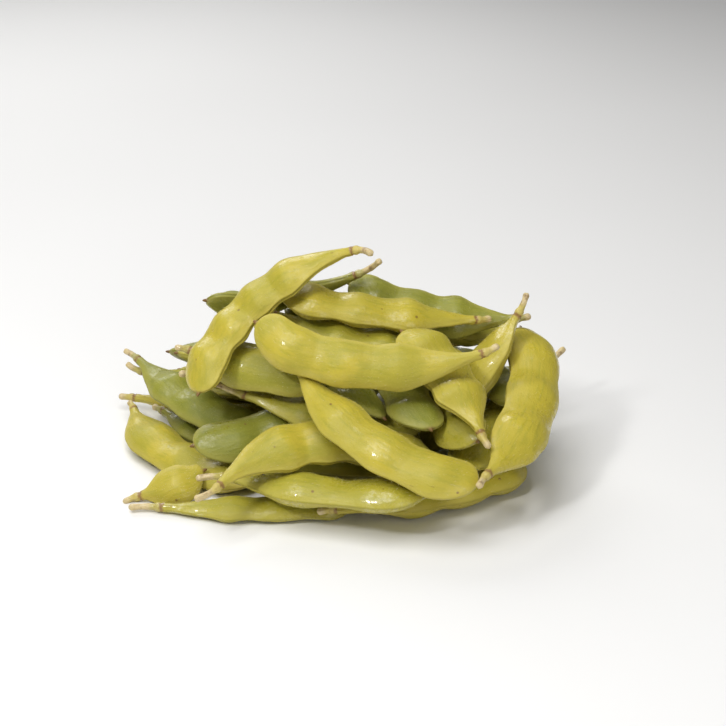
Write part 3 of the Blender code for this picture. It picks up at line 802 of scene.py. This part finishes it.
def fill_blemishes(desk, given):
    """Sparse brown specks, and short scratches along the pod."""
    at = desk.place_on_pod()
    cells = desk.add("ShaderNodeTexVoronoi", {"Vector": at, "Scale": 0.22, "Randomness": 1.0})
    near = desk.spread(cells.outputs["Distance"], 0.12, 0.05)
    parts = desk.add("ShaderNodeSeparateColor", {"Color": cells.outputs["Color"]})
    chosen = desk.spread(parts.outputs[0], 0.78, 0.84)
    specks = desk.math("MULTIPLY", near, chosen)
    scratches = desk.spread(desk.noise(at, scale=1.4, detail=2, stretch=(0.22, 1, 1)), 0.735, 0.78)
    mask = desk.math("MAXIMUM", specks, desk.math("MULTIPLY", scratches, 0.7))
    return {"Mask": desk.math("MULTIPLY", mask, given["Amount"])}


def fill_stalk(desk, given):
    """Stalk and calyx laid over the hull: fresh at the pod, dry beyond, with a brown ring at the calyx."""
    at = desk.place_on_pod()
    along = desk.mark("pod_along")
    patches = desk.noise(at, scale=0.55, detail=3)
    ragged = desk.math("ADD", along, desk.math("MULTIPLY", desk.noise(at, scale=1.3, detail=2), 1.6))
    dry = desk.mix(desk.spread(patches, 0.48, 0.70, start=0.0, end=0.65), given["Dry"], given["Brown"])
    fresh = desk.mix(desk.spread(patches, 0.55, 0.75, start=0.0, end=0.4), given["Fresh"], given["Brown"])
    stalk = desk.mix(desk.spread(along, -2.4, -4.2), fresh, dry)
    broken = desk.spread(desk.mark("pod_from_break"), 1.1, 0.5)
    stalk = desk.mix(broken, stalk, given["Dry"])
    colour = desk.mix(desk.spread(ragged, 1.6, 0.4), given["Hull"], stalk)
    ring = desk.math("MULTIPLY", desk.spread(ragged, -0.2, 0.5), desk.spread(ragged, 1.5, 0.8))
    colour = desk.mix(desk.math("MULTIPLY", ring, 0.75), colour, given["Scar"])
    beak = desk.spread(desk.mark("pod_from_beak"), 1.7, 0.8, start=0.0, end=0.9)
    return {"Colour": desk.mix(beak, colour, given["Brown"]), "Stalk": desk.spread(ragged, 1.2, 0.2)}


def fill_moisture(desk, given):
    """Where cooking water still lies on the skin in beads, and how rough the skin is."""
    at = desk.place_on_pod()
    patches = desk.spread(desk.noise(at, scale=0.10, detail=3), 0.45, 0.58)
    more_on_some = desk.spread(desk.mark("pod_tone"), 0.2, 0.8, start=0.35, end=1.0)
    wet = desk.math("MULTIPLY", desk.math("MULTIPLY", patches, more_on_some), given["Wetness"])
    fine = desk.noise(at, scale=1.1, detail=3)
    dull = desk.spread(fine, 0.3, 0.7, given["Dry Roughness"], given["Dull Roughness"])
    smoother = desk.math("MULTIPLY", wet, 0.22)
    between = desk.spread(desk.noise(at, scale=0.9, detail=3), 0.58, 0.42)
    kept = desk.math("SUBTRACT", 1.0, desk.math("MULTIPLY", between, given["Beading"]))
    film = desk.math("MULTIPLY", wet, kept)
    return {"Film": film, "Roughness": desk.math("SUBTRACT", dull, smoother)}


def fill_skin_height(desk, given):
    """Fine grain, oblique veins and tiny bumps of the skin, as a height."""
    at = desk.place_on_pod()
    grain = desk.noise(at, scale=4.5, detail=3)
    pebbles = desk.noise(at, scale=1.7, detail=2)
    slanted = desk.add("ShaderNodeMapping", {"Vector": at, "Rotation": (0, 0, 0.7), "Scale": (0.25, 1, 1)})
    veins = desk.spread(desk.noise(slanted.outputs[0], scale=0.7, detail=2), 0.50, 0.62)
    height = desk.math("ADD", desk.math("MULTIPLY", grain, 0.35), desk.math("MULTIPLY", pebbles, 0.55))
    height = desk.math("ADD", height, desk.math("MULTIPLY", veins, 0.25))
    fibres = desk.noise(at, scale=2.4, detail=2, stretch=(0.15, 1, 1))
    on_stalk = desk.math("MULTIPLY", fibres, desk.math("MULTIPLY", given["Stalk"], 1.5))
    return {"Height": desk.math("ADD", height, on_stalk)}


def hull_colour_group():
    inputs = [(name, "Color", (0.4, 0.4, 0.1, 1)) for name in ("Hull", "Over Bean", "Deep", "Bloom", "Seam")]
    return node_group("hull_colour", inputs, [("Colour", "Color")], fill_hull_colour)


def blemish_group():
    return node_group("blemishes", [("Amount", "Float", 1.0)], [("Mask", "Float")], fill_blemishes)


def stalk_group():
    inputs = [(name, "Color", (0.4, 0.3, 0.1, 1)) for name in ("Hull", "Fresh", "Dry", "Brown", "Scar")]
    return node_group("stalk_and_calyx", inputs, [("Colour", "Color"), ("Stalk", "Float")], fill_stalk)


def moisture_group():
    inputs = [
        ("Wetness", "Float", 1.0),
        ("Beading", "Float", 1.0),
        ("Dry Roughness", "Float", 0.42),
        ("Dull Roughness", "Float", 0.55),
    ]
    return node_group("moisture", inputs, [("Film", "Float"), ("Roughness", "Float")], fill_moisture)


def skin_height_group():
    return node_group("skin_height", [("Stalk", "Float", 0.0)], [("Height", "Float")], fill_skin_height)


def fuzz_colour_group():
    inputs = [("Hair", "Color", (0.6, 0.6, 0.4, 1)), ("Skin", "Color", (0.4, 0.4, 0.1, 1))]
    return node_group("fuzz_colour", inputs, [("Colour", "Color")], fill_fuzz_colour)


def opaque(colour):
    return (*colour, 1)


def new_material(name):
    """A material, the desk that adds its nodes, and its shader."""
    material = bpy.data.materials.new(name)
    material.use_nodes = True
    return material, NodeDesk(material.node_tree), material.node_tree.nodes["Principled BSDF"]


def skin_material(tint, looks):
    """Moist, softly fuzzy hull of one tint, with its stalk and calyx."""
    name = "edamame_skin_" + tint
    found = bpy.data.materials.get(name)
    if found:
        return found
    material, desk, shader = new_material(name)
    hull = Vector(getattr(looks, tint + "_hull"))
    colour = desk.group(hull_colour_group(), {
        "Hull": opaque(hull),
        "Over Bean": opaque(hull * looks.over_bean_lighter),
        "Deep": opaque(Vector((hull.x * 0.62, hull.y * 0.72, hull.z * 0.6))),
        # Pale fuzz tone for the mottling, and the painted sheen towards the seams.
        "Bloom": opaque(hull.lerp(Vector(looks.bloom_and_sheen), 0.35)),
        "Seam": opaque(Vector((hull.x * 0.55, hull.y * 0.55, hull.z * 0.45))),
    })
    blemish = desk.group(blemish_group(), {"Amount": looks.blemishes})
    stalk = desk.group(stalk_group(), {
        "Hull": desk.mix(blemish.outputs["Mask"], colour.outputs["Colour"], opaque(looks.brown)),
        "Fresh": opaque(hull.lerp(Vector(looks.dry_stalk), 0.35)),
        "Dry": opaque(looks.dry_stalk),
        "Brown": opaque(looks.brown),
        "Scar": opaque(looks.scar),
    })
    moisture = desk.group(moisture_group(), {"Wetness": looks.wetness, "Beading": looks.beading})
    height = desk.group(skin_height_group(), {"Stalk": stalk.outputs["Stalk"]}).outputs["Height"]
    relief = {"Height": height, "Strength": looks.grain, "Distance": GRAIN_DEPTH * MM}
    finish = {
        "Base Color": stalk.outputs["Colour"],
        "Roughness": moisture.outputs["Roughness"],
        "Coat Weight": moisture.outputs["Film"],
        "Normal": desk.add("ShaderNodeBump", relief).outputs[0],
        "Metallic": 0.0,
        "IOR": 1.42,
        "Coat Roughness": 0.10,
        "Coat IOR": 1.45,
        "Sheen Weight": looks.velvet,
        "Sheen Roughness": 0.45,
        "Sheen Tint": opaque(looks.bloom_and_sheen),
        "Subsurface Weight": looks.translucency,
        "Subsurface Scale": 0.0015,
        "Subsurface Radius": (1.0, 0.8, 0.25),
    }
    for label, value in finish.items():
        desk.feed(shader.inputs[label], value)
    return material


def fill_fuzz_colour(desk, given):
    """Pale hairs that differ a little from place to place."""
    at = desk.add("ShaderNodeTexCoord").outputs["Object"]
    patches = desk.spread(desk.noise(at, scale=140, detail=2), 0.35, 0.65)
    return {"Colour": desk.mix(patches, given["Hair"], given["Skin"])}


def fuzz_material(tint, looks):
    """Short, pale hairs, tinged by the hull under them."""
    material, desk, shader = new_material("edamame_fuzz_" + tint)
    hull = Vector(getattr(looks, tint + "_hull"))
    colour = desk.group(fuzz_colour_group(), {
        "Hair": opaque(hull.lerp(Vector(looks.hair), 0.75)),
        "Skin": opaque(hull.lerp(Vector(looks.hair), 0.35)),
    })
    desk.feed(shader.inputs["Base Color"], colour.outputs["Colour"])
    desk.feed(shader.inputs["Roughness"], 0.5)
    desk.feed(shader.inputs["Subsurface Weight"], 0.0)
    return material


def hair_roots(skin, count):
    """Roots and directions of hairs over a pod's body, lying over towards its blunt end."""
    body = (skin.rings > 2) & (skin.rings < skin.shape.pod.length - 0.5)
    rows = np.flatnonzero(body)
    area = skin.area[rows].ravel()
    chosen = skin.draw.choice(area.size, size=count, p=area / area.sum())
    ring, side = rows[chosen // len(skin.angles)], chosen % len(skin.angles)
    forward = skin.grid[np.minimum(ring + 1, len(skin.rings) - 1), side] - skin.grid[ring, side]
    forward /= np.maximum(np.linalg.norm(forward, axis=1), 1e-9)[:, None]
    way = 0.75 * skin.out[ring, side] + 0.8 * forward + skin.draw.normal(0, 0.22, forward.shape)
    way /= np.linalg.norm(way, axis=1)[:, None]
    return skin.grid[ring, side], way


def height_setting(name, description, default):
    """A height in millimetres."""
    return FloatProperty(name=name, description=description, default=default, min=0, max=1)


def share_setting(name, description, default, most=1):
    return FloatProperty(name=name, description=description, default=default, min=0, max=most,
                         subtype="FACTOR")


def colour_setting(name, description, default):
    return FloatVectorProperty(name=name, description=description, default=default, size=3, min=0, max=1,
                               subtype="COLOR")


def power_setting(name, description, default):
    return FloatProperty(name=name, description=description, default=default, min=0, max=200,
                         subtype="POWER", unit="POWER")


class PodSizes(PropertyGroup):
    """Sizes of what stands out of a pod's skin, in millimetres."""

    seam_height: height_setting("Seam Height", "Height of the ridges along the seams", 0.20)
    unevenness: height_setting("Unevenness", "Height of the broad dents in the skin", 0.11)
    fine_unevenness: height_setting("Fine Unevenness", "Height of the small dents in the skin", 0.022)
    neck_folds: height_setting("Neck Folds", "Height of the folds near both ends", 0.05)
    calyx_height: height_setting("Calyx Height", "How far the calyx's lobes stand proud", 0.12)
    stalk_flare: share_setting("Stalk Flare", "Swelling of the stalk's broken end, against its radius", 0.10)


class PodLooks(PropertyGroup):
    """Colours and finish of the pods."""

    yellow_hull: colour_setting("Yellow Hull", "Hull of the ripest pods", (0.50, 0.41, 0.043))
    green_hull: colour_setting("Green Hull", "Hull of ordinary pods", (0.40, 0.352, 0.036))
    # Greener hull, made darker still as painted shade for the pods that lie in shade.
    dark_hull: colour_setting("Dark Hull", "Hull of the greenest pods", (0.265, 0.265, 0.034))
    over_bean_lighter: share_setting("Over Bean Lighter", "Brightness over a bean, against the hull",
                                     1.08, most=2)
    # Pale fuzz tone for the mottling, the painted sheen towards the seams, and the tint of the shader's own
    # sheen.
    bloom_and_sheen: colour_setting("Bloom", "Pale bloom that the fuzz gives the hull", (0.62, 0.535, 0.15))
    hair: colour_setting("Hair", "Single hairs of the fuzz", (0.78, 0.72, 0.45))
    dry_stalk: colour_setting("Dry Stalk", "Dry stalk and its broken end", (0.60, 0.48, 0.25))
    brown: colour_setting("Brown", "Bruised patches of stalk, beak and hull", (0.17, 0.075, 0.025))
    scar: colour_setting("Calyx Scar", "Line where the hull meets the calyx", (0.22, 0.085, 0.035))
    blemishes: share_setting("Blemishes", "Strength of the brown specks", 0.75)
    wetness: share_setting("Wetness", "Strength of the film of water", 1.0)
    beading: share_setting("Beading", "How far the film of water parts into beads", 1.0)
    grain: share_setting("Grain", "Strength of the skin's fine grain", 0.55)
    velvet: share_setting("Velvet", "Soft sheen of the finest hairs", 0.20)
    translucency: share_setting("Translucency", "Light that passes through the hull", 0.10)


class FuzzSizes(PropertyGroup):
    """Number and size of the hairs."""

    hairs: IntProperty(name="Hairs", description="Hairs on each pod", default=420, min=0, max=1500)
    length: FloatProperty(name="Length", description="Length of the longest hairs, in millimetres",
                          default=1.1, min=0.1, max=3)
    radius: FloatProperty(name="Radius", description="Radius of a hair's root, in millimetres",
                          default=0.035, min=0.005, max=0.2)


class StageLooks(PropertyGroup):
    """Floor, lights and camera."""

    floor_size: FloatProperty(name="Floor Size", description="Side of the square floor", default=6.0,
                              min=1, max=20, subtype="DISTANCE", unit="LENGTH")
    floor_colour: colour_setting("Floor Colour", "Plain pale floor", (0.86, 0.855, 0.845))
    key_power: power_setting("Key Power", "Large soft light above the heap", 3.4)
    window_power: power_setting("Window Power", "Small light at the upper left", 0.9)
    fill_power: power_setting("Fill Power", "Soft light from the front", 1.2)
    back_power: power_setting("Back Power", "Soft light from behind", 2.2)
    sky_strength: FloatProperty(name="Sky Strength", description="Brightness of the even light all round",
                                default=0.07, min=0, max=5)
    lens: FloatProperty(name="Lens", description="Focal length of the camera", default=85.0, min=20, max=300,
                        subtype="DISTANCE_CAMERA", unit="CAMERA")
    elevation: FloatProperty(name="Elevation", description="Camera above the horizon",
                             default=math.radians(24), min=0, max=math.pi / 2,
                             subtype="ANGLE", unit="ROTATION")
    scale: FloatProperty(name="Picture Scale", description="Pixels for a millimetre at the heap",
                         default=3.62, min=0.5, max=20)
    aim: FloatVectorProperty(name="Aim", description="Point that the camera looks at", size=3,
                             default=(0.0064, 0.0, 0.0300), subtype="TRANSLATION", unit="LENGTH")


class EDAMAME_OT_pod_skins(Operator):
    """Give every solid pod its fine skin, seams, calyx and stalk"""

    bl_idname = "edamame.pod_skins"
    bl_label = "Add Pod Skins"

    def execute(self, context):
        sizes, looks = context.scene.edamame_sizes, context.scene.edamame_looks
        for shape, turn, place in laid_pods():
            name = shape.pod.name
            skin = Skin(shape, turn, place, sizes)
            material = skin_material(shape.pod.tint, looks)
            piece = place_piece(name + "_skin", skin.mesh(name + "_skin"), material)
            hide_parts(name)
        return {"FINISHED"}


class EDAMAME_OT_pod_fuzz(Operator):
    """Add the short pale hairs of the pods, a piece for each tint"""

    bl_idname = "edamame.pod_fuzz"
    bl_label = "Add Pod Fuzz"

    def execute(self, context):
        scene = context.scene
        for tint in TINTS:
            together = bmesh.new()
            for shape, turn, place in laid_pods():
                if shape.pod.tint == tint:
                    skin = Skin(shape, turn, place, scene.edamame_sizes)
                    hairs = self.pod_hairs(skin, scene.edamame_fuzz)
                    together.from_mesh(hairs)
                    bpy.data.meshes.remove(hairs)
            mesh = bpy.data.meshes.new("pods_fuzz_" + tint)
            together.to_mesh(mesh)
            together.free()
            place_piece(mesh.name, mesh, fuzz_material(tint, scene.edamame_looks))
        return {"FINISHED"}

    @staticmethod
    def pod_hairs(skin, sizes):
        """The hairs of one pod, as a mesh."""
        bm = bmesh.new()
        roots, ways = hair_roots(skin, sizes.hairs)
        lengths = sizes.length * skin.draw.uniform(0.45, 1.0, len(roots))
        for root, way, length in zip(roots, ways, lengths):
            middle = Vector(root + way * (length / 2 - 0.1)) * MM
            if middle.z < length / 2 * MM:
                continue
            stand = Matrix.Translation(middle) @ Vector(way).to_track_quat("Z", "Y").to_matrix().to_4x4()
            bmesh.ops.create_cone(bm, cap_ends=True, cap_tris=False, segments=3, radius1=sizes.radius * MM,
                                  radius2=0, depth=length * MM, matrix=stand)
        mesh = bpy.data.meshes.new("hairs")
        bm.to_mesh(mesh)
        bm.free()
        return mesh


class EDAMAME_OT_stage(Operator):
    """Add a plain pale floor, soft studio lights and the camera"""

    bl_idname = "edamame.stage"
    bl_label = "Add Stage"

    def execute(self, context):
        looks = context.scene.edamame_stage
        self.add_floor(looks)
        self.add_sky(context.scene, looks)
        for name, place, size in LIGHTS:
            self.add_light(name + "_light", place, size, getattr(looks, name + "_power"))
        self.add_camera(context.scene, looks)
        context.scene.view_settings.view_transform = "Standard"
        return {"FINISHED"}

    @staticmethod
    def add_floor(looks):
        bm = bmesh.new()
        bmesh.ops.create_grid(bm, x_segments=1, y_segments=1, size=looks.floor_size / 2)
        mesh = bpy.data.meshes.new("floor")
        bm.to_mesh(mesh)
        bm.free()
        floor = bpy.data.objects.new("floor", mesh)
        bpy.context.scene.collection.objects.link(floor)
        material, desk, shader = new_material("floor_paper")
        at = desk.add("ShaderNodeTexCoord").outputs["Object"]
        cloudy = desk.spread(desk.noise(at, scale=3.0, detail=2), 0.3, 0.7, start=0.97, end=1.0)
        cloud = desk.add("ShaderNodeCombineColor", {0: cloudy, 1: cloudy, 2: cloudy}).outputs[0]
        paper = desk.mix(1.0, opaque(looks.floor_colour), cloud, "MULTIPLY")
        desk.feed(shader.inputs["Base Color"], paper)
        desk.feed(shader.inputs["Roughness"], 0.7)
        mesh.materials.append(material)

    @staticmethod
    def add_sky(scene, looks):
        sky = bpy.data.worlds.new("even_sky")
        sky.use_nodes = True
        background = sky.node_tree.nodes["Background"]
        background.inputs["Color"].default_value = (1.0, 0.99, 0.97, 1)
        background.inputs["Strength"].default_value = looks.sky_strength
        scene.world = sky

    @staticmethod
    def add_light(name, place, size, power):
        lamp = bpy.data.lights.new(name, "AREA")
        lamp.size = size
        lamp.energy = power
        light = bpy.data.objects.new(name, lamp)
        light.location = place
        aim = Vector(LIGHT_AIM) - Vector(place)
        light.rotation_euler = aim.to_track_quat("-Z", "Y").to_euler()
        bpy.context.scene.collection.objects.link(light)

    @staticmethod
    def add_camera(scene, looks):
        eye = bpy.data.cameras.new("camera")
        eye.lens = looks.lens
        eye.sensor_width = 36
        eye.clip_start = 0.01
        camera = bpy.data.objects.new("camera", eye)
        distance = PICTURE / looks.scale * MM / (eye.sensor_width / eye.lens)
        back = Vector((0, -math.cos(looks.elevation), math.sin(looks.elevation)))
        camera.location = Vector(looks.aim) + back * distance
        camera.rotation_euler = back.to_track_quat("Z", "Y").to_euler()
        scene.collection.objects.link(camera)
        scene.camera = camera


class EDAMAME_PT_heap(Panel):
    """Steps that dress the heap, in the order they are run"""

    bl_idname = "EDAMAME_PT_heap"
    bl_label = "Edamame Pod Heap"
    bl_space_type = "VIEW_3D"
    bl_region_type = "UI"
    bl_category = "Edamame"

    def draw(self, context):
        scene = context.scene
        steps = (
            (EDAMAME_OT_pod_skins, (scene.edamame_sizes, scene.edamame_looks)),
            (EDAMAME_OT_pod_fuzz, (scene.edamame_fuzz,)),
            (EDAMAME_OT_stage, (scene.edamame_stage,)),
        )
        for operator, groups in steps:
            box = self.layout.box()
            box.operator(operator.bl_idname)
            for group in groups:
                for name in group.__annotations__:
                    box.prop(group, name)


CLASSES = (PodSizes, PodLooks, FuzzSizes, StageLooks, EDAMAME_OT_pod_skins, EDAMAME_OT_pod_fuzz,
           EDAMAME_OT_stage, EDAMAME_PT_heap)
GROUPS = {
    "edamame_sizes": PodSizes,
    "edamame_looks": PodLooks,
    "edamame_fuzz": FuzzSizes,
    "edamame_stage": StageLooks,
}
LAID = []


def laid_pods():
    """The pods as they lie, worked out once and set against the frame."""
    if not LAID:
        LAID.extend(lay_heap())
        for shape, turn, place in LAID:
            set_against_frame(shape, turn, place)
    return LAID


def register():
    for made in CLASSES:
        bpy.utils.register_class(made)
    for name, group in GROUPS.items():
        setattr(bpy.types.Scene, name, PointerProperty(type=group))


def unregister():
    for name in GROUPS:
        delattr(bpy.types.Scene, name)
    for made in reversed(CLASSES):
        bpy.utils.unregister_class(made)


def main():
    register()
    bpy.ops.edamame.pod_skins()
    bpy.ops.edamame.pod_fuzz()
    bpy.ops.edamame.stage()


if __name__ == "__main__":
    main()
